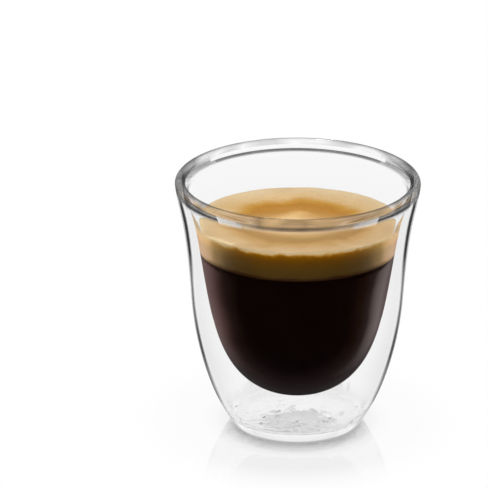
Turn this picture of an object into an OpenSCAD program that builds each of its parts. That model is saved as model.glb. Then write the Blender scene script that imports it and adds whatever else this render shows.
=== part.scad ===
// A double espresso in a small double-walled glass.
// Origin at the middle of the foot, on the surface that the glass stands on. +Z is up. Sizes are in mm.

/* [Glass outside] */
// Outside width across the rounded rim
rim_d = 65; // [52:0.5:80]
// Height from the table to the top of the rim
glass_h = 69.3; // [56:0.1:85]
// Width of the rounded rim bead
bead_d = 2.8; // [2.2:0.1:3.6]
// Width of the foot where it meets the table
foot_d = 34.4; // [28:0.1:42]
// Width of the body at its waist
waist_d = 56.7; // [47:0.1:69]
// Height of the waist above the table
waist_h = 36.6; // [30:0.1:44]
// Height of the small rounding round the edge of the foot
foot_round = 0.7; // [0.5:0.1:0.9]
// Steepness of the body as it leaves the foot, in degrees above the table
foot_angle = 50; // [42:1:60]

/* [Glass walls] */
// Thickness of the outer wall at the waist
outer_wall = 1.6; // [1.2:0.1:2]
// Thickness of the inner cup's wall at its shoulder
cup_wall = 1.8; // [1.4:0.1:2.2]
// Thickness of the base in the middle
base_t = 4.4; // [3.6:0.1:5.3]
// Depth of the shallow hollow under the foot
hollow_depth = 0.3; // [0.25:0.05:0.5]
// Width of the flat ring that the foot stands on
ring_w = 3; // [2.4:0.1:4]

/* [Air space] */
// Air space between the base and the underside of the inner cup
air_below = 4.9; // [4:0.1:5.9]
// Air space beside the inner cup at its shoulder
air_beside = 4.1; // [3.3:0.1:5]
// Height of the inner cup's shoulder below the waist
shoulder_drop = 5.9; // [4.8:0.1:7.2]
// Depth at which the two walls join below the top of the rim
join_depth = 2.6; // [2.1:0.1:3.2]

/* [Drink] */
// Distance from the top of the rim down to the top of the crema
headroom = 11.8; // [9.6:0.1:14.2]
// Thickness of the crema layer
crema_t = 7.2; // [5.9:0.1:8.7]

/* [Hidden] */
$fn = 96;

// Heights that the pieces share
bead_r = bead_d / 2;
rim_z = glass_h - bead_r;
join_z = glass_h - join_depth;
shoulder_z = waist_h - shoulder_drop;
cup_under_z = base_t + air_below;
cup_floor_z = cup_under_z + cup_wall;
crema_top_z = glass_h - headroom;
coffee_top_z = crema_top_z - crema_t;

// Radii that the pieces share
rim_r = rim_d / 2;
waist_r = waist_d / 2;
foot_r = foot_d / 2;
hollow_r = foot_r - ring_w;
shoulder_r = waist_r - outer_wall - air_beside;
mouth_r = rim_r - bead_d;

// A smooth curve from point a to point d that leaves towards b and arrives from c
function bend(a, b, c, d, t) =
    pow(1 - t, 3) * a + 3 * pow(1 - t, 2) * t * b + 3 * (1 - t) * t * t * c + t * t * t * d;
function curve(a, b, c, d, steps) = [for (k = [0 : steps]) bend(a, b, c, d, k / steps)];

// The curve's direction, and the step across it towards the air space
function heading(a, b, c, d, t) =
    pow(1 - t, 2) * (b - a) + 2 * (1 - t) * t * (c - b) + t * t * (d - c);
function inward(v) = [-v[1], v[0]] / norm(v);

// The same list without its last point, to join the next curve cleanly
function open_end(pts) = [for (k = [0 : len(pts) - 2]) pts[k]];

// Outward lean of each curve where two of them meet, per mm of height
waist_lean = 0.064;
rim_lean = 0.12;
shoulder_lean = 0.23;
join_lean = 0.7;
mouth_lean = 0.5;

// How far a curve holds its direction at its ends, as a share of the height or width that it spans
foot_hold = 0.172;
waist_hold = 0.49;
neck_hold = 0.7;
rim_hold = 0.24;
floor_hold = 0.68;
shoulder_hold = 0.49;
cup_hold = 0.36;
join_hold = 0.16;
fill_hold = 0.34;
mouth_hold = 0.24;
base_hold = 0.95;
hollow_hold = [0.5, 0.8];

// The same for the foot's edge as shares of its rounding, and for the air space's heel in wall thicknesses
edge_hold = [0.6, 0.4];
heel_hold = 4.5;

// How far the join of the two walls lies inside the even outer wall, as a share of the bead's radius
join_inset = 0.45;

// Steps along the curves, and the step at which the even outer wall begins
low_steps = 14;
high_steps = 10;
hollow_steps = 6;
edge_steps = 4;
heel = 4;

// Foot: a flat ring with a small rounding that runs into the body
foot_dir = [cos(foot_angle), sin(foot_angle)];
foot_pt = [foot_r, foot_round / 2];
ring_pt = [foot_r - foot_round, 0];
foot_edge = curve(ring_pt, ring_pt + [foot_round * edge_hold[0], 0],
    foot_pt - foot_round * edge_hold[1] * foot_dir, foot_pt, edge_steps);

// Outer face of the body, from the foot to the waist
foot_pull = foot_pt + waist_h * foot_hold * foot_dir;
waist_pt = [waist_r, waist_h];
waist_pull = waist_pt - waist_h * waist_hold * [waist_lean, 1];
body_low = curve(foot_pt, foot_pull, waist_pull, waist_pt, low_steps);

// Outer face of the body, from the waist to the bead
neck_h = rim_z - waist_h;
neck_rise = neck_h * neck_hold * [waist_lean, 1];
rim_drop = neck_h * rim_hold * [rim_lean, 1];
rim_pt = [rim_r, rim_z];
body_high = curve(waist_pt, waist_pt + neck_rise, rim_pt - rim_drop, rim_pt, high_steps);

// Rounded bead, from its outer side over the top to its inner side
bead = [for (k = [1 : high_steps - 1])
    [rim_r - bead_r, rim_z] + bead_r * [cos(k * 180 / high_steps), sin(k * 180 / high_steps)]];

// Shallow hollow under the foot
hollow = curve([0, hollow_depth], [hollow_r * hollow_hold[0], hollow_depth],
    [hollow_r * hollow_hold[1], 0], [hollow_r, 0], hollow_steps);

// Face of the air space against the base and the outer wall, which is even from the heel up
wall_low = [for (k = [heel : low_steps])
    bend(foot_pt, foot_pull, waist_pull, waist_pt, k / low_steps)
    + outer_wall * inward(heading(foot_pt, foot_pull, waist_pull, waist_pt, k / low_steps))];
heel_way = heading(foot_pt, foot_pull, waist_pull, waist_pt, heel / low_steps);
heel_pull = wall_low[0] - outer_wall * heel_hold * heel_way / norm(heel_way);
base_face = curve([0, base_t], [foot_r * base_hold, base_t], heel_pull, wall_low[0], high_steps);
air_in = wall_low[len(wall_low) - 1];
join_pt = [rim_r - outer_wall - bead_r * join_inset, join_z];
air_high = curve(air_in, air_in + neck_rise, join_pt - rim_drop, join_pt, high_steps);

// Outer face of the inner cup, from its underside to the shoulder and on to the join
cup_pt = [shoulder_r, shoulder_z];
cup_drop = (shoulder_z - cup_under_z) * shoulder_hold * [shoulder_lean, 1];
cup_rise = (join_z - shoulder_z) * cup_hold * [shoulder_lean, 1];
join_drop = (join_z - shoulder_z) * join_hold * [join_lean, 1];
cup_low = curve([0, cup_under_z], [shoulder_r * floor_hold, cup_under_z],
    cup_pt - cup_drop, cup_pt, low_steps);
cup_high = curve(cup_pt, cup_pt + cup_rise, join_pt - join_drop, join_pt, low_steps);

// Inner face of the cup, which the drink fills
fill_pt = [shoulder_r - cup_wall, shoulder_z];
mouth_pt = [mouth_r, rim_z];
fill_drop = (shoulder_z - cup_floor_z) * shoulder_hold * [shoulder_lean, 1];
fill_rise = (rim_z - shoulder_z) * fill_hold * [shoulder_lean, 1];
mouth_drop = (rim_z - shoulder_z) * mouth_hold * [mouth_lean, 1];
fill_low = curve([0, cup_floor_z], [fill_pt[0] * floor_hold, cup_floor_z],
    fill_pt - fill_drop, fill_pt, low_steps);
fill_high = curve(fill_pt, fill_pt + fill_rise, mouth_pt - mouth_drop, mouth_pt, low_steps);
fill_face = concat(open_end(fill_low), fill_high);

// The same list from its end to its start
function back(pts) = [for (k = [len(pts) - 1 : -1 : 0]) pts[k]];

// The inside of the cup up to the middle of the bead, as a flat outline
module fill_outline() {
    polygon(concat(fill_face, [[0, rim_z]]));
}

// The sealed air space between the two walls, as a flat outline
module air_outline() {
    polygon(concat(open_end(base_face), open_end(wall_low), air_high,
        back(open_end(cup_high)), back(open_end(cup_low))));
}

// The whole glass without its air space, as a flat outline
module shell_outline() {
    polygon(concat(open_end(foot_edge), open_end(body_low), body_high, bead,
        back(open_end(fill_face)), hollow));
}

// Double-walled glass with a rounded rim and a thick base
module glass() {
    color("lightcyan")
        rotate_extrude()
            difference() {
                shell_outline();
                air_outline();
            }
}

// Dark coffee in the lower part of the cup
module coffee() {
    color("#2a0f08")
        rotate_extrude()
            intersection() {
                fill_outline();
                translate([0, cup_floor_z]) square([rim_d, coffee_top_z - cup_floor_z]);
            }
}

// Crema floating on the coffee, up to the level of the drink
module crema() {
    color("#c99a55")
        rotate_extrude()
            intersection() {
                fill_outline();
                translate([0, coffee_top_z]) square([rim_d, crema_t]);
            }
}

glass();
coffee();
crema();
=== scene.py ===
"""A double espresso: dark coffee and crema in a double-walled glass. Metres, in the CAD frame."""

import math

import bmesh
import bpy
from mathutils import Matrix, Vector, noise


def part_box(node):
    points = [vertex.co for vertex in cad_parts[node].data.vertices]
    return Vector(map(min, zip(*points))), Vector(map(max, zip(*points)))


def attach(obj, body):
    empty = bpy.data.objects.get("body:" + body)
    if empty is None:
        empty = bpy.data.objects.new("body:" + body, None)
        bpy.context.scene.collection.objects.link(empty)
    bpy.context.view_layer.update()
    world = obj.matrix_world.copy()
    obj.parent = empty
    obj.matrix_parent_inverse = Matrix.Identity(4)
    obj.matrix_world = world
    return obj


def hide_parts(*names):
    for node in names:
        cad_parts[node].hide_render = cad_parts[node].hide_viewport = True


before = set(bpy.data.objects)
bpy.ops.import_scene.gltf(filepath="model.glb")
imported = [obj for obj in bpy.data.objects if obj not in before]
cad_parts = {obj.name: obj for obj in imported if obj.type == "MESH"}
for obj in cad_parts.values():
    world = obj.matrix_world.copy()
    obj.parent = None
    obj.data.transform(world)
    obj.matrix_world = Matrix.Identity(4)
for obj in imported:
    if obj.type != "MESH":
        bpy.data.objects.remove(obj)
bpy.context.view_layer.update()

MM = 0.001

# Sizes that the frame gives
GLASS_LOW, GLASS_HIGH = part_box("glass")
CREMA_LOW, CREMA_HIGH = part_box("crema")
RIM_R = (GLASS_HIGH[0] - GLASS_LOW[0]) / 2
GLASS_H = GLASS_HIGH[2]
CUP_FLOOR_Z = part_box("coffee")[0][2]
COFFEE_TOP_Z = CREMA_LOW[2]
CREMA_TOP_Z = CREMA_HIGH[2]

# Sizes of the glass that the CAD model was drawn with
BEAD_R = 1.4 * MM
FOOT_R = 17.2 * MM
FOOT_ROUND = 0.7 * MM
WAIST_R = 28.35 * MM
WAIST_Z = 36.6 * MM
FOOT_ANGLE = math.radians(50)
OUTER_WALL = 1.6 * MM
CUP_WALL = 1.8 * MM
BASE_T = 4.4 * MM
HOLLOW_DEPTH = 0.3 * MM
RING_W = 3.0 * MM
AIR_BELOW = 4.9 * MM
AIR_BESIDE = 4.1 * MM
SHOULDER_DROP = 5.9 * MM
JOIN_DEPTH = 2.6 * MM

# Heights and radii that follow from them
RIM_Z = GLASS_H - BEAD_R
JOIN_Z = GLASS_H - JOIN_DEPTH
SHOULDER_Z = WAIST_Z - SHOULDER_DROP
CUP_UNDER_Z = BASE_T + AIR_BELOW
SHOULDER_R = WAIST_R - OUTER_WALL - AIR_BESIDE
MOUTH_R = RIM_R - 2 * BEAD_R
HOLLOW_R = FOOT_R - RING_W

# Outward lean of the curves where two of them meet, per unit of height
WAIST_LEAN = 0.064
RIM_LEAN = 0.12
SHOULDER_LEAN = 0.23
JOIN_LEAN = 0.7
MOUTH_LEAN = 0.5

# How far a curve holds its direction at its ends, as a share of the height or width that it spans
FOOT_HOLD = 0.172
WAIST_HOLD = 0.49
NECK_HOLD = 0.7
RIM_HOLD = 0.24
FLOOR_HOLD = 0.68
SHOULDER_HOLD = 0.49
CUP_HOLD = 0.36
JOIN_HOLD = 0.16
FILL_HOLD = 0.34
MOUTH_HOLD = 0.24
BASE_HOLD = 0.95
HOLLOW_HOLD = (0.5, 0.8)
EDGE_HOLD = (0.6, 0.4)  # in roundings of the foot
HEEL_HOLD = 4.5         # in thicknesses of the outer wall
JOIN_INSET = 0.45       # how far the join lies inside the even outer wall, in radii of the bead

# The crema's top
CREMA_TILT = 0.75 * MM    # how much higher it stands at the front than in the middle
CLING = 0.45 * MM         # how far it climbs the glass at the sides
CLING_FRONT = 0.35 * MM   # and how much further at the front
CLING_WIDTH = 1.2 * MM    # how quickly that fades towards the middle
UNEVEN = 0.12 * MM        # height of its gentle bumps
UNEVEN_SCALE = 180        # bumps per metre
FLARE = 0.35              # how far the cup widens per unit of height there
FLARE_BAND = 2 * MM       # the outer band that follows it

INTO_WALL = 0.15 * MM  # how far the drink reaches into the cup's wall, so that no gap shows

# Steps round each turned piece and along its curves
ROUND_STEPS = 192
CURVE_STEPS = 40
BODY_STEPS = 48
AIR_STEPS = 56
HEEL_STEP = AIR_STEPS * 2 // 7
BEAD_STEPS = 24
HOLLOW_STEPS = 16
EDGE_STEPS = 8
CREMA_STEPS = 60
SHARP_ANGLE = math.radians(40)

# Looks
GLASS_IOR = 1.47
BRIGHTEST = 0.95          # brightest pigment
COFFEE_EDGE_LIGHT = 0.42  # light that reaches the coffee at the edges of its outline
CREMA_TOP_LIGHT = 1.12    # and the crema from above
CREMA_SIDE_LIGHT = 0.66   # and its side
CREMA_R = 26.0 * MM       # where the colours of the crema's top end
REFLECTED_GLASS_SHADE = 0.55      # painted shade: how bright the glass shows where it is seen in a reflection
MIRROR_FROM = 16.5 * MM   # where the floor mirrors most, and where that ends
MIRROR_TO = 48 * MM
LIGHT_TARGET = Vector((0, 0, 50 * MM))


# ---------------------------------------------------------------- outlines

def bend(a, b, c, d, steps):
    """Points on the smooth curve from a to d that leaves towards b and arrives from c."""
    points = []
    for k in range(steps + 1):
        t = k / steps
        weights = ((1 - t) ** 3, 3 * (1 - t) ** 2 * t, 3 * (1 - t) * t * t, t ** 3)
        points.append(sum((w * Vector(p) for w, p in zip(weights, (a, b, c, d))), Vector((0, 0))))
    return points


def heading(a, b, c, d, t):
    """Direction of the same curve at t."""
    a, b, c, d = map(Vector, (a, b, c, d))
    return ((1 - t) ** 2 * (b - a) + 2 * (1 - t) * t * (c - b) + t * t * (d - c)).normalized()


def lean(slope, rise):
    """A step of that height that leans outwards by the slope."""
    return Vector((slope, 1)) * rise


def join(*curves):
    """One outline from curves that follow each other, without doubled points."""
    points = []
    for curve in curves:
        for p in curve:
            if not points or (p - points[-1]).length > 1e-7:
                points.append(p)
    return points


FOOT = Vector((FOOT_R, FOOT_ROUND * 0.5))
WAIST = Vector((WAIST_R, WAIST_Z))
BODY_START = Vector((math.cos(FOOT_ANGLE), math.sin(FOOT_ANGLE)))
BODY_LOW = (FOOT, FOOT + BODY_START * WAIST_Z * FOOT_HOLD,
            WAIST - lean(WAIST_LEAN, WAIST_Z * WAIST_HOLD), WAIST)


def upper_curve(waist, rim):
    """From the waist up to the rim, the same way for the outer face and for the air space."""
    upper = RIM_Z - WAIST_Z
    return bend(waist, waist + lean(WAIST_LEAN, upper * NECK_HOLD),
                rim - lean(RIM_LEAN, upper * RIM_HOLD), rim, CURVE_STEPS)


def body_outline():
    """Outer face of the body from the foot to the outside of the bead."""
    ring = Vector((FOOT_R - FOOT_ROUND, 0))
    edge = bend(ring, ring + Vector((FOOT_ROUND * EDGE_HOLD[0], 0)),
                FOOT - BODY_START * FOOT_ROUND * EDGE_HOLD[1], FOOT, EDGE_STEPS)
    return join(edge, bend(*BODY_LOW, BODY_STEPS), upper_curve(WAIST, Vector((RIM_R, RIM_Z))))


def bead_outline():
    """Rounded bead from its outer side over the top to its inner side."""
    centre = Vector((RIM_R - BEAD_R, RIM_Z))
    turns = [math.pi * k / BEAD_STEPS for k in range(BEAD_STEPS + 1)]
    return [centre + BEAD_R * Vector((math.cos(a), math.sin(a))) for a in turns]


def fill_outline(grow=0.0):
    """Inner face of the cup from the middle of its floor to the bead, moved outwards by grow."""
    shoulder = Vector((SHOULDER_R - CUP_WALL + grow, SHOULDER_Z))
    floor = CUP_FLOOR_Z - grow
    rise = RIM_Z - SHOULDER_Z
    mouth = Vector((MOUTH_R + grow, RIM_Z))
    low = bend((0, floor), (shoulder.x * FLOOR_HOLD, floor),
               shoulder - lean(SHOULDER_LEAN, (SHOULDER_Z - floor) * SHOULDER_HOLD), shoulder, CURVE_STEPS)
    high = bend(shoulder, shoulder + lean(SHOULDER_LEAN, rise * FILL_HOLD),
                mouth - lean(MOUTH_LEAN, rise * MOUTH_HOLD), mouth, CURVE_STEPS)
    return join(low, high)


def air_outline():
    """The sealed air space: from the base up the outer wall, round the join and down the cup."""
    wall_low = []
    body = bend(*BODY_LOW, AIR_STEPS)
    for k in range(HEEL_STEP, AIR_STEPS + 1):
        along = heading(*BODY_LOW, k / AIR_STEPS)
        wall_low.append(body[k] + OUTER_WALL * Vector((-along.y, along.x)))
    heel = wall_low[0]
    heel_pull = heel - OUTER_WALL * HEEL_HOLD * heading(*BODY_LOW, HEEL_STEP / AIR_STEPS)
    base = bend((0, BASE_T), (FOOT_R * BASE_HOLD, BASE_T), heel_pull, heel, CURVE_STEPS)
    tip = Vector((RIM_R - OUTER_WALL - BEAD_R * JOIN_INSET, JOIN_Z))
    wall_high = upper_curve(wall_low[-1], tip)
    shoulder = Vector((SHOULDER_R, SHOULDER_Z))
    low_rise = SHOULDER_Z - CUP_UNDER_Z
    high_rise = JOIN_Z - SHOULDER_Z
    cup_high = bend(tip, tip - lean(JOIN_LEAN, high_rise * JOIN_HOLD),
                    shoulder + lean(SHOULDER_LEAN, high_rise * CUP_HOLD), shoulder, CURVE_STEPS)
    cup_low = bend(shoulder, shoulder - lean(SHOULDER_LEAN, low_rise * SHOULDER_HOLD),
                   (SHOULDER_R * FLOOR_HOLD, CUP_UNDER_Z), (0, CUP_UNDER_Z), CURVE_STEPS)
    return join(base, wall_low, wall_high, cup_high, cup_low)


def hollow_outline():
    """Shallow hollow under the foot, from its edge to its middle."""
    return bend((HOLLOW_R, 0), (HOLLOW_R * HOLLOW_HOLD[1], 0),
                (HOLLOW_R * HOLLOW_HOLD[0], HOLLOW_DEPTH), (0, HOLLOW_DEPTH), HOLLOW_STEPS)


# ---------------------------------------------------------------- meshes

def turn(name, *outlines, zone=None):
    """A mesh of revolution. Each outline runs with the solid on its left as +Z is up. The zone gives
    each face its material slot from the two ends of its line and its outline's number."""
    bm = bmesh.new()
    for number, outline in enumerate(outlines):
        rings = []
        for p in outline:
            if p.x < 1e-7:
                rings.append([bm.verts.new((0, 0, p.y))])
                continue
            angles = [2 * math.pi * k / ROUND_STEPS for k in range(ROUND_STEPS)]
            rings.append([bm.verts.new((p.x * math.cos(a), p.x * math.sin(a), p.y)) for a in angles])
        for start, end, below, above in zip(outline, outline[1:], rings, rings[1:]):
            slot = zone(start, end, number) if zone else 0
            for k in range(ROUND_STEPS):
                m = (k + 1) % ROUND_STEPS
                corners = [below[k % len(below)], below[m % len(below)],
                           above[m % len(above)], above[k % len(above)]]
                unique = list(dict.fromkeys(corners))
                if len(unique) > 2:
                    bm.faces.new(unique).material_index = slot
    for face in bm.faces:
        face.smooth = True
    mesh = bpy.data.meshes.new(name)
    bm.to_mesh(mesh)
    bm.free()
    mesh.set_sharp_from_angle(angle=SHARP_ANGLE)
    piece = bpy.data.objects.new(name, mesh)
    bpy.context.scene.collection.objects.link(piece)
    return piece


def make_glass():
    """Outer skin and sealed air space as two closed shells of one mesh."""
    foot_ring = [Vector((HOLLOW_R, 0)), Vector((FOOT_R - FOOT_ROUND, 0))]
    inside = list(reversed(fill_outline()))
    skin = join(list(reversed(hollow_outline())), foot_ring, body_outline(), bead_outline(), inside)

    def zone(start, end, number):
        """Slot 0 is the outer face with the bead, 1 the inside and the hollow, and 2 the air space."""
        if number == 1:
            return 2
        return 0 if end.y > start.y or end.y > RIM_Z else 1

    return turn("espresso_glass", skin, list(reversed(air_outline())), zone=zone)


def make_coffee():
    """The dark drink up to the underside of the crema."""
    wall = [p for p in fill_outline(INTO_WALL) if p.y <= COFFEE_TOP_Z]
    top = [Vector((wall[-1].x, COFFEE_TOP_Z)), Vector((0, COFFEE_TOP_Z))]
    return turn("coffee_liquid", join(wall, top))


def make_crema():
    """The foam layer. Its edge clings to the glass, most at the front, and it lies a little aslant."""
    wall = [p for p in fill_outline(INTO_WALL) if COFFEE_TOP_Z < p.y < CREMA_TOP_Z]
    bottom = [Vector((0, COFFEE_TOP_Z)), Vector((wall[0].x, COFFEE_TOP_Z))]
    above = [p for p in fill_outline(INTO_WALL) if p.y >= CREMA_TOP_Z]
    edge = wall[-1].lerp(above[0], (CREMA_TOP_Z - wall[-1].y) / (above[0].y - wall[-1].y))
    top = [Vector((edge.x * (1 - k / CREMA_STEPS), CREMA_TOP_Z)) for k in range(1, CREMA_STEPS + 1)]
    piece = turn("crema_foam", join(bottom, wall, [edge], top))
    for vertex in piece.data.vertices:
        place = vertex.co
        r = math.hypot(place.x, place.y)
        share = (place.z - COFFEE_TOP_Z) / (CREMA_TOP_Z - COFFEE_TOP_Z)
        front = -place.y / edge.x
        aslant = CREMA_TILT * front
        cling = (CLING + CLING_FRONT * front) * math.exp(-(edge.x - r) / CLING_WIDTH)
        uneven = UNEVEN * noise.noise(Vector((place.x, place.y, 0)) * UNEVEN_SCALE)
        lift = share ** 3 * (aslant + cling + uneven)
        follow = FLARE if r > edge.x - FLARE_BAND else 0
        grow = 1 + share ** 3 * (aslant + cling) * follow / max(r, MM)
        place.z += lift
        place.x *= grow
        place.y *= grow
    return piece


# ---------------------------------------------------------------- materials

class Nodes:
    """Short calls for building one node tree."""

    def __init__(self, material):
        material.use_nodes = True
        self.tree = material.node_tree
        self.tree.nodes.clear()

    def add(self, kind, **settings):
        node = self.tree.nodes.new(kind)
        for key, value in settings.items():
            setattr(node, key, value)
        return node

    def link(self, out, into):
        self.tree.links.new(out, into)

    def put(self, into, value):
        """Links an output, or sets a constant on the socket itself."""
        if isinstance(value, bpy.types.NodeSocket):
            self.link(value, into)
        else:
            into.default_value = value

    def math(self, operation, a, b=0.0):
        node = self.add("ShaderNodeMath", operation=operation)
        self.put(node.inputs[0], a)
        self.put(node.inputs[1], b)
        return node.outputs[0]

    def ramp(self, value, *stops):
        """A ramp of greys or colours, as (position, grey or colour) pairs."""
        node = self.add("ShaderNodeValToRGB")
        elements = node.color_ramp.elements
        while len(elements) < len(stops):
            elements.new(0.5)
        for element, (position, colour) in zip(elements, stops):
            element.position = position
            element.color = (*colour, 1) if isinstance(colour, tuple) else (colour,) * 3 + (1,)
        self.put(node.inputs["Fac"], value)
        return node.outputs["Color"]

    def mix(self, fac, a, b, blend="MIX"):
        node = self.add("ShaderNodeMix", data_type="RGBA", blend_type=blend)
        self.put(node.inputs["Factor"], fac)
        self.put(node.inputs[6], a)
        self.put(node.inputs[7], b)
        return node.outputs[2]

    def noise(self, scale, detail=3.0, vector=None, distortion=0.0):
        node = self.add("ShaderNodeTexNoise")
        node.inputs["Scale"].default_value = scale
        node.inputs["Detail"].default_value = detail
        node.inputs["Distortion"].default_value = distortion
        if vector is not None:
            self.link(vector, node.inputs["Vector"])
        return node.outputs["Fac"]

    def place(self):
        """Where a point lies, in the row frame."""
        return self.add("ShaderNodeTexCoord").outputs["Object"]

    def parts(self, vector):
        node = self.add("ShaderNodeSeparateXYZ")
        self.link(vector, node.inputs[0])
        return node.outputs

    def radius(self, x, y):
        """Distance from the glass's axis."""
        return self.math("SQRT", self.math("ADD", self.math("MULTIPLY", x, x), self.math("MULTIPLY", y, y)))

    def shaders(self, fac, a, b):
        """A mix of two shader outputs."""
        node = self.add("ShaderNodeMixShader")
        self.put(node.inputs[0], fac)
        self.link(a, node.inputs[1])
        self.link(b, node.inputs[2])
        return node.outputs[0]

    def surface(self, shader, output="ShaderNodeOutputMaterial"):
        """Makes the shader the surface of the material."""
        self.link(shader, self.add(output).inputs["Surface"])

    def matt(self, colour):
        """A matt body with no gloss of its own, since the cup covers it. Returns the shader node."""
        shader = self.add("ShaderNodeBsdfPrincipled")
        self.link(colour, shader.inputs["Base Color"])
        shader.inputs["Roughness"].default_value = 0.5
        shader.inputs["Specular IOR Level"].default_value = 0.0
        return shader

    def between(self, value, low, high):
        """0 at low, 1 at high."""
        node = self.add("ShaderNodeMapRange")
        self.put(node.inputs["Value"], value)
        node.inputs["From Min"].default_value = low
        node.inputs["From Max"].default_value = high
        return node.outputs["Result"]


def rgb(r, g, b, light=1.0):
    """A colour as it shows on a screen in that much light, as the linear pigment that gives it. A pigment
    that would be brighter than the brightest one is dimmed to it without a change of hue."""
    linear = ((c / 255 / 12.92) if c <= 10 else ((c / 255 + 0.055) / 1.055) ** 2.4 for c in (r, g, b))
    scaled = [c / light for c in linear]
    most = max(1.0, max(scaled) / BRIGHTEST)
    return tuple(c / most for c in scaled)


def glass_material(name, face):
    """Clear borosilicate glass that lets the light through to the drink. Its outer face has painted dark
    lines where it is seen at a grazing angle, in place of the dark panels that draw a glass's edges, with
    painted dark accents on the bead and a painted dark line along the foot's bottom edge. The air space has a
    painted dark line at its tip under the bead, and the hollow under the foot a faint painted grey. Seen in a
    reflection, the glass is dimmed as painted shade. The bead is partly clear without refraction, and the
    base reflects more than plain glass does."""
    material = bpy.data.materials.new(name)
    n = Nodes(material)
    level = n.between(n.parts(n.place())[2], 0.0, GLASS_H)
    facing = n.add("ShaderNodeLayerWeight").outputs["Facing"]
    if face == "outer":
        # Painted dark lines: the outer face darkens where it is seen at a grazing angle, with its own ramp
        # for the foot, the low, middle and high body and the bead.
        foot = n.ramp(facing, (0.0, 1.0), (0.4, 0.99), (0.79, 0.94), (0.86, 0.3), (0.94, 0.1), (1.0, 0.2))
        low = n.ramp(facing, (0.0, 1.0), (0.4, 0.99), (0.62, 0.9), (0.75, 0.88), (0.785, 0.13),
                     (0.85, 0.05), (0.91, 0.4), (1.0, 0.8))
        middle = n.ramp(facing, (0.0, 1.0), (0.4, 0.99), (0.62, 0.92), (0.765, 0.9), (0.81, 0.25),
                        (0.85, 0.18), (0.9, 0.6), (1.0, 0.9))
        high = n.ramp(facing, (0.0, 1.0), (0.4, 0.99), (0.62, 0.9), (0.735, 0.9), (0.775, 0.05),
                      (0.835, 0.02), (0.87, 0.5), (1.0, 0.95))
        bead = n.ramp(facing, (0.0, 1.0), (0.38, 0.98), (0.52, 0.7), (0.68, 0.3), (1.0, 0.15))
        # Painted dark accents on the bead, scattered by noise.
        painted_dark_accents = n.ramp(n.noise(48.0, 1.0, n.place()), (0.42, 1.0), (0.5, 0.6), (0.56, 1.0), (0.66, 0.75))
        bead = n.mix(1.0, bead, painted_dark_accents, "MULTIPLY")
        body = n.mix(n.ramp(level, (0.1, 0.0), (0.32, 1.0)), foot, low)
        body = n.mix(n.ramp(level, (0.38, 0.0), (0.56, 1.0)), body, middle)
        body = n.mix(n.ramp(level, (0.62, 0.0), (0.74, 1.0)), body, high)
        tint_and_painted_shade = n.mix(n.ramp(level, (0.955, 0.0), (0.965, 1.0)), body, bead)
        # A painted dark line along the bottom edge of the foot.
        tint_and_painted_shade = n.mix(1.0, tint_and_painted_shade, n.ramp(level, (0.0, 0.45), (0.008, 0.5), (0.016, 1.0)), "MULTIPLY")
        # Painted shade: where the glass is seen in a reflection, such as the floor's, it is dimmed.
        mirrored = n.add("ShaderNodeLightPath").outputs["Is Glossy Ray"]
        tint_and_painted_shade = n.mix(mirrored, tint_and_painted_shade, n.mix(1.0, tint_and_painted_shade, (REFLECTED_GLASS_SHADE,) * 3 + (1,), "MULTIPLY"))
        back = n.add("ShaderNodeNewGeometry").outputs["Backfacing"]
        tint_and_painted_shade = n.mix(back, tint_and_painted_shade, (0.995, 0.995, 0.995, 1))
    elif face == "air":
        # A painted dark line at the tip of the air space, under the bead.
        tint_and_painted_shade = n.ramp(level, (0.0, 0.992), (0.949, 0.992), (0.955, 0.4), (1.0, 0.35))
    else:
        # A faint painted grey on the hollow and the ring under the foot.
        tint_and_painted_shade = n.ramp(level, (0.0, 0.97), (0.1, 0.995), (1.0, 0.995))
    refract = n.add("ShaderNodeBsdfRefraction")
    n.link(tint_and_painted_shade, refract.inputs["Color"])
    refract.inputs["IOR"].default_value = GLASS_IOR
    refract.inputs["Roughness"].default_value = 0.0
    mirror = n.add("ShaderNodeBsdfGlossy")
    mirror.inputs["Color"].default_value = (1, 1, 1, 1)
    mirror.inputs["Roughness"].default_value = 0.0
    fresnel_node = n.add("ShaderNodeFresnel")
    fresnel_node.inputs["IOR"].default_value = GLASS_IOR
    fresnel = fresnel_node.outputs[0]
    faint = n.ramp(fresnel, (0.0, 0.0), (0.96, 0.012), (0.99, 1.0))
    strength = n.ramp(level, (0.09, 1.0), (0.14, 0.0), (0.94, 0.0), (0.97, 0.8))
    strong = fresnel
    if face == "air":
        strong = n.ramp(fresnel, (0.0, 0.0), (0.04, 0.1), (0.13, 0.36), (0.3, 0.6), (0.9, 1.0))
    share = n.mix(strength, faint, strong)
    glass = n.shaders(share, refract.outputs[0], mirror.outputs[0])
    if face != "outer":
        swirl = n.noise(80.0, 2.5, n.place(), 2.6)
        relief = n.add("ShaderNodeBump")
        relief.inputs["Distance"].default_value = 0.6 * MM
        n.link(n.ramp(level, (0.07, 0.8), (0.11, 0.0)), relief.inputs["Strength"])
        n.link(swirl, relief.inputs["Height"])
        for shader in (refract, mirror, fresnel_node):
            n.link(relief.outputs[0], shader.inputs["Normal"])
    straight = n.add("ShaderNodeBsdfTransparent")
    n.link(tint_and_painted_shade, straight.inputs["Color"])
    rim = n.shaders(n.ramp(level, (0.945, 0.0), (0.965, 0.7)), glass, straight.outputs[0])
    clear = n.add("ShaderNodeBsdfTransparent")
    clear.inputs["Color"].default_value = (0.97, 0.98, 0.98, 1)
    shadow = n.add("ShaderNodeLightPath").outputs["Is Shadow Ray"]
    n.surface(n.shaders(shadow, rim, clear.outputs[0]))
    return material


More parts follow.
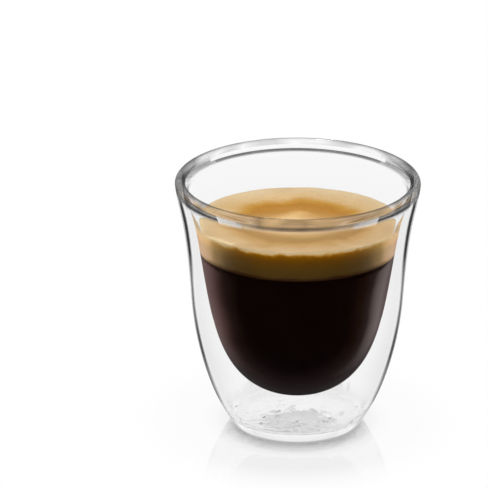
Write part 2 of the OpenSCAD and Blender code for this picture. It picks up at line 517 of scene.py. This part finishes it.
def coffee_material():
    """Nearly black coffee. Its sides have a painted reflection: they turn reddish brown and mauve where they
    are seen at a grazing angle, with a painted grey highlight on the right.
    """
    material = bpy.data.materials.new("dark_coffee")
    n = Nodes(material)
    place = n.place()
    facing = n.add("ShaderNodeLayerWeight").outputs["Facing"]
    drift = n.math("MULTIPLY", n.math("SUBTRACT", n.noise(55.0, 2.0, place), 0.5), 0.05)
    painted_reflection_fac = n.math("ADD", facing, drift)
    edge = COFFEE_EDGE_LIGHT
    # Painted reflection of the white studio on the sides at a grazing angle, with a painted grey highlight in
    # the right ramp.
    left = n.ramp(painted_reflection_fac, (0.03, rgb(9, 1, 0)), (0.16, rgb(13, 2, 1)), (0.2, rgb(22, 11, 7, edge)),
                  (0.22, rgb(34, 20, 16, edge)), (0.24, rgb(56, 39, 35, edge)), (0.26, rgb(76, 56, 54, edge)),
                  (0.3, rgb(100, 80, 78, edge)), (0.36, rgb(140, 126, 124, edge)))
    right = n.ramp(painted_reflection_fac, (0.03, rgb(9, 1, 0)), (0.15, rgb(13, 2, 1)), (0.19, rgb(22, 9, 5, edge)),
                   (0.222, rgb(36, 26, 25, edge)), (0.25, rgb(90, 78, 76, edge)),
                   (0.28, rgb(108, 97, 95, edge)), (0.31, rgb(90, 74, 72, edge)),
                   (0.36, rgb(140, 128, 126, edge)))
    low = n.ramp(painted_reflection_fac, (0.03, rgb(9, 4, 6)), (0.13, rgb(11, 5, 6)), (0.2, rgb(23, 14, 15, edge)),
                 (0.26, rgb(38, 29, 30, edge)), (0.36, rgb(64, 58, 58, edge)))
    x, _, z = n.parts(place)
    side = n.mix(n.between(x, -2 * MM, 2 * MM), left, right)
    height = n.ramp(n.between(z, CUP_FLOOR_Z, COFFEE_TOP_Z), (0.2, 0.0), (0.5, 1.0))
    n.surface(n.matt(n.mix(height, low, side)).outputs[0])
    return material


def crema_material():
    """Golden foam: paler in the middle and at the glass, amber to olive down its side. The side has painted
    light:
    it turns paler and glows a little where it is seen at a grazing angle, in place of wide soft boxes and
    light scattered in the foam."""
    material = bpy.data.materials.new("golden_crema")
    n = Nodes(material)
    place = n.place()
    x, y, z = n.parts(place)
    wobble = n.math("MULTIPLY", n.math("SUBTRACT", n.noise(70.0, 5.0, place, 0.8), 0.5), 12 * MM)
    share = n.between(n.math("ADD", n.radius(x, y), wobble), 0.0, CREMA_R)
    bright = CREMA_TOP_LIGHT
    near = n.ramp(share, (0.0, rgb(222, 188, 140, bright)), (0.15, rgb(206, 170, 118, bright)),
                  (0.45, rgb(172, 136, 86, bright)), (0.6, rgb(172, 134, 82, bright)),
                  (0.72, rgb(197, 158, 104, bright)), (0.84, rgb(210, 176, 130, bright)),
                  (0.93, rgb(217, 184, 140, bright)), (0.97, rgb(222, 192, 148, bright)),
                  (1.0, rgb(238, 212, 166, bright)))
    far = n.ramp(share, (0.0, rgb(222, 188, 140, bright)), (0.15, rgb(203, 160, 100, bright)),
                 (0.28, rgb(180, 132, 68, bright)), (0.48, rgb(174, 122, 54, bright)),
                 (0.6, rgb(190, 144, 70, bright)), (0.74, rgb(210, 176, 126, bright)),
                 (1.0, rgb(226, 200, 160, bright)))
    top = n.mix(n.between(y, -1 * MM, 6 * MM), near, far)
    tilt = n.math("MULTIPLY", y, -CREMA_TILT / CREMA_R)
    level = n.math("SUBTRACT", z, tilt)
    depth_noise = n.math("MULTIPLY", n.math("SUBTRACT", n.noise(420.0, 3.0, place), 0.5), 1.6 * MM)
    depth = n.between(n.math("ADD", level, depth_noise), CREMA_TOP_Z + 0.5 * MM, COFFEE_TOP_Z)
    lit = CREMA_SIDE_LIGHT
    # The first stops make a bright line at the top of the side: partly the foam's own pale edge, partly a
    # painted highlight.
    side = n.ramp(depth, (0.0, rgb(240, 212, 164, lit)), (0.03, rgb(226, 190, 134, lit)),
                  (0.07, rgb(190, 142, 66, lit)), (0.12, rgb(146, 94, 16, lit)), (0.18, rgb(120, 72, 2, lit)),
                  (0.27, rgb(104, 64, 5, lit)), (0.42, rgb(89, 57, 12, lit)), (0.65, rgb(77, 54, 15, lit)),
                  (0.96, rgb(69, 49, 17, lit)), (1.0, rgb(46, 26, 10, lit)))
    # Painted light: the side turns paler where it is seen at a grazing angle.
    painted_edge_light = n.ramp(depth, (0.0, rgb(226, 200, 150, lit)), (0.15, rgb(204, 166, 104, lit)),
                  (0.45, rgb(168, 138, 98, lit)), (1.0, rgb(158, 130, 106, lit)))
    facing = n.add("ShaderNodeLayerWeight").outputs["Facing"]
    painted_light_mask = n.ramp(facing, (0.12, 0.0), (0.165, 0.06), (0.2, 0.25), (0.23, 0.5), (0.255, 0.85), (0.28, 1.0))
    side = n.mix(painted_light_mask, side, painted_edge_light)
    up = n.parts(n.add("ShaderNodeNewGeometry").outputs["Normal"])[2]
    level_face = n.between(up, 0.3, 0.7)
    fine = n.noise(1500.0, 2.0, place)
    body = n.mix(level_face, side, top)
    grain = n.mix(0.3, body, n.ramp(fine, (0.3, 0.38), (0.7, 0.6)), "OVERLAY")
    shader = n.matt(grain)
    # Painted glow: the side gives off a little light where it is seen at a grazing angle.
    painted_glow = n.ramp(facing, (0.19, (0.0, 0.0, 0.0)), (0.235, (0.1, 0.062, 0.02)), (0.253, (0.26, 0.17, 0.09)),
                  (0.285, (0.4, 0.26, 0.18)), (0.34, (0.3, 0.22, 0.18)))
    n.link(n.mix(level_face, painted_glow, (0, 0, 0, 1)), shader.inputs["Emission Color"])
    shader.inputs["Emission Strength"].default_value = 1.0
    bump = n.add("ShaderNodeBump")
    bump.inputs["Strength"].default_value = 0.15
    bump.inputs["Distance"].default_value = 0.2 * MM
    n.link(fine, bump.inputs["Height"])
    n.link(bump.outputs[0], shader.inputs["Normal"])
    n.surface(shader.outputs[0])
    return material


# ---------------------------------------------------------------- stage

def make_floor():
    """A plain white glossy surface. It mirrors the foot, and that fades out around it."""
    bpy.ops.mesh.primitive_plane_add(size=6.0)
    floor = bpy.context.object
    floor.name = "floor"
    material = bpy.data.materials.new("white_floor")
    n = Nodes(material)
    white = n.add("ShaderNodeEmission")
    white.inputs["Color"].default_value = (1, 1, 1, 1)
    white.inputs["Strength"].default_value = 1.0
    mirror = n.add("ShaderNodeBsdfGlossy")
    mirror.inputs["Roughness"].default_value = 0.05
    x, y, _ = n.parts(n.place())
    near = n.between(n.radius(x, y), MIRROR_FROM, MIRROR_TO)
    fade = n.ramp(near, (0.0, 0.68), (0.02, 0.66), (0.12, 0.46), (0.2, 0.24), (0.3, 0.15), (0.52, 0.14),
                  (0.75, 0.05), (1.0, 0.0))
    n.surface(n.shaders(fade, white.outputs[0], mirror.outputs[0]))
    floor.data.materials.append(material)
    floor.visible_transmission = False
    floor.visible_glossy = False


def make_world():
    """White studio: greyer below and overhead as it shows through the glass, and dimmer as it lights
    the matt surfaces."""
    world = bpy.data.worlds.new("studio")
    bpy.context.scene.world = world
    n = Nodes(world)
    height = n.between(n.parts(n.add("ShaderNodeTexCoord").outputs["Generated"])[2], -1.0, 1.0)
    through = n.ramp(height, (0.0, 0.7), (0.2, 0.88), (0.33, 0.95), (0.6, 1.0), (1.0, 0.7))
    path = n.add("ShaderNodeLightPath").outputs
    studio = n.mix(path["Is Transmission Ray"], (1, 1, 1, 1), through)
    studio = n.mix(path["Is Diffuse Ray"], studio, (0.8, 0.8, 0.8, 1))
    back = n.add("ShaderNodeBackground")
    n.link(n.mix(path["Is Camera Ray"], studio, (1, 1, 1, 1)), back.inputs["Color"])
    back.inputs["Strength"].default_value = 1.0
    n.surface(back.outputs[0], "ShaderNodeOutputWorld")


def softbox(name, place, size, power, glints=False):
    """A soft rectangular light that faces the drink, and shows in the glass only if it glints."""
    light = bpy.data.lights.new(name, "AREA")
    light.shape = "RECTANGLE"
    light.size, light.size_y = size
    light.energy = power
    lamp = bpy.data.objects.new(name, light)
    lamp.location = place
    lamp.rotation_euler = (LIGHT_TARGET - Vector(place)).to_track_quat("-Z", "Y").to_euler()
    lamp.visible_transmission = False
    lamp.visible_glossy = glints
    bpy.context.scene.collection.objects.link(lamp)


def make_lights():
    """Two boxes above, a fill and a side light on each side, two small glints behind, and one overhead."""
    softbox("left_box", (-0.35, -0.45, 0.75), (0.3, 0.3), 0.8, glints=True)
    softbox("right_box", (0.40, -0.40, 0.75), (0.3, 0.3), 0.5, glints=True)
    softbox("left_fill", (-0.65, -0.70, 0.25), (0.5, 0.7), 6.8)
    softbox("right_fill", (0.70, -0.65, 0.25), (0.5, 0.7), 6.0)
    softbox("left_side", (-0.90, -0.10, 0.30), (0.5, 0.7), 4.0)
    softbox("right_side", (0.90, -0.10, 0.30), (0.5, 0.7), 4.0)
    softbox("left_glint", (-0.045, 0.92, 0.80), (0.05, 0.05), 0.5, glints=True)
    softbox("right_glint", (0.055, 0.92, 0.80), (0.05, 0.05), 0.5, glints=True)
    softbox("top_box", (0.0, 0.15, 0.9), (0.5, 0.5), 0.4)


def make_camera():
    """A long lens, a metre away and 22 degrees above, aimed a little up and left of the glass."""
    distance = 1.0
    elevation = math.radians(22.24)
    target = Vector((0, 0, 34 * MM))
    left = Vector((-14.3 * MM, 0, 0))
    up = Vector((0, math.sin(elevation), math.cos(elevation))) * 15.3 * MM
    aim = target + left + up
    camera = bpy.data.objects.new("camera", bpy.data.cameras.new("camera"))
    camera.data.sensor_width = 36.0
    camera.data.lens = 275.8
    camera.data.clip_end = 20.0
    camera.location = target + distance * Vector((0, -math.cos(elevation), math.sin(elevation)))
    camera.rotation_euler = (aim - camera.location).to_track_quat("-Z", "Y").to_euler()
    bpy.context.scene.collection.objects.link(camera)
    bpy.context.scene.camera = camera


def finish_piece(piece, node, *materials):
    """Gives the piece its materials, in slot order, and puts it in the place of its CAD node."""
    for material in materials:
        piece.data.materials.append(material)
    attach(piece, "root")
    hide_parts(node)


make_camera()
make_world()
make_lights()
make_floor()
glasses = [glass_material(f"{face}_glass", face) for face in ("outer", "inner", "air")]
finish_piece(make_glass(), "glass", *glasses)
finish_piece(make_coffee(), "coffee", coffee_material())
finish_piece(make_crema(), "crema", crema_material())

scene = bpy.context.scene
scene.view_settings.view_transform = "Standard"
scene.cycles.max_bounces = 24
scene.cycles.transmission_bounces = 20
scene.cycles.glossy_bounces = 12
scene.cycles.transparent_max_bounces = 16
scene.cycles.caustics_reflective = False
scene.cycles.caustics_refractive = False
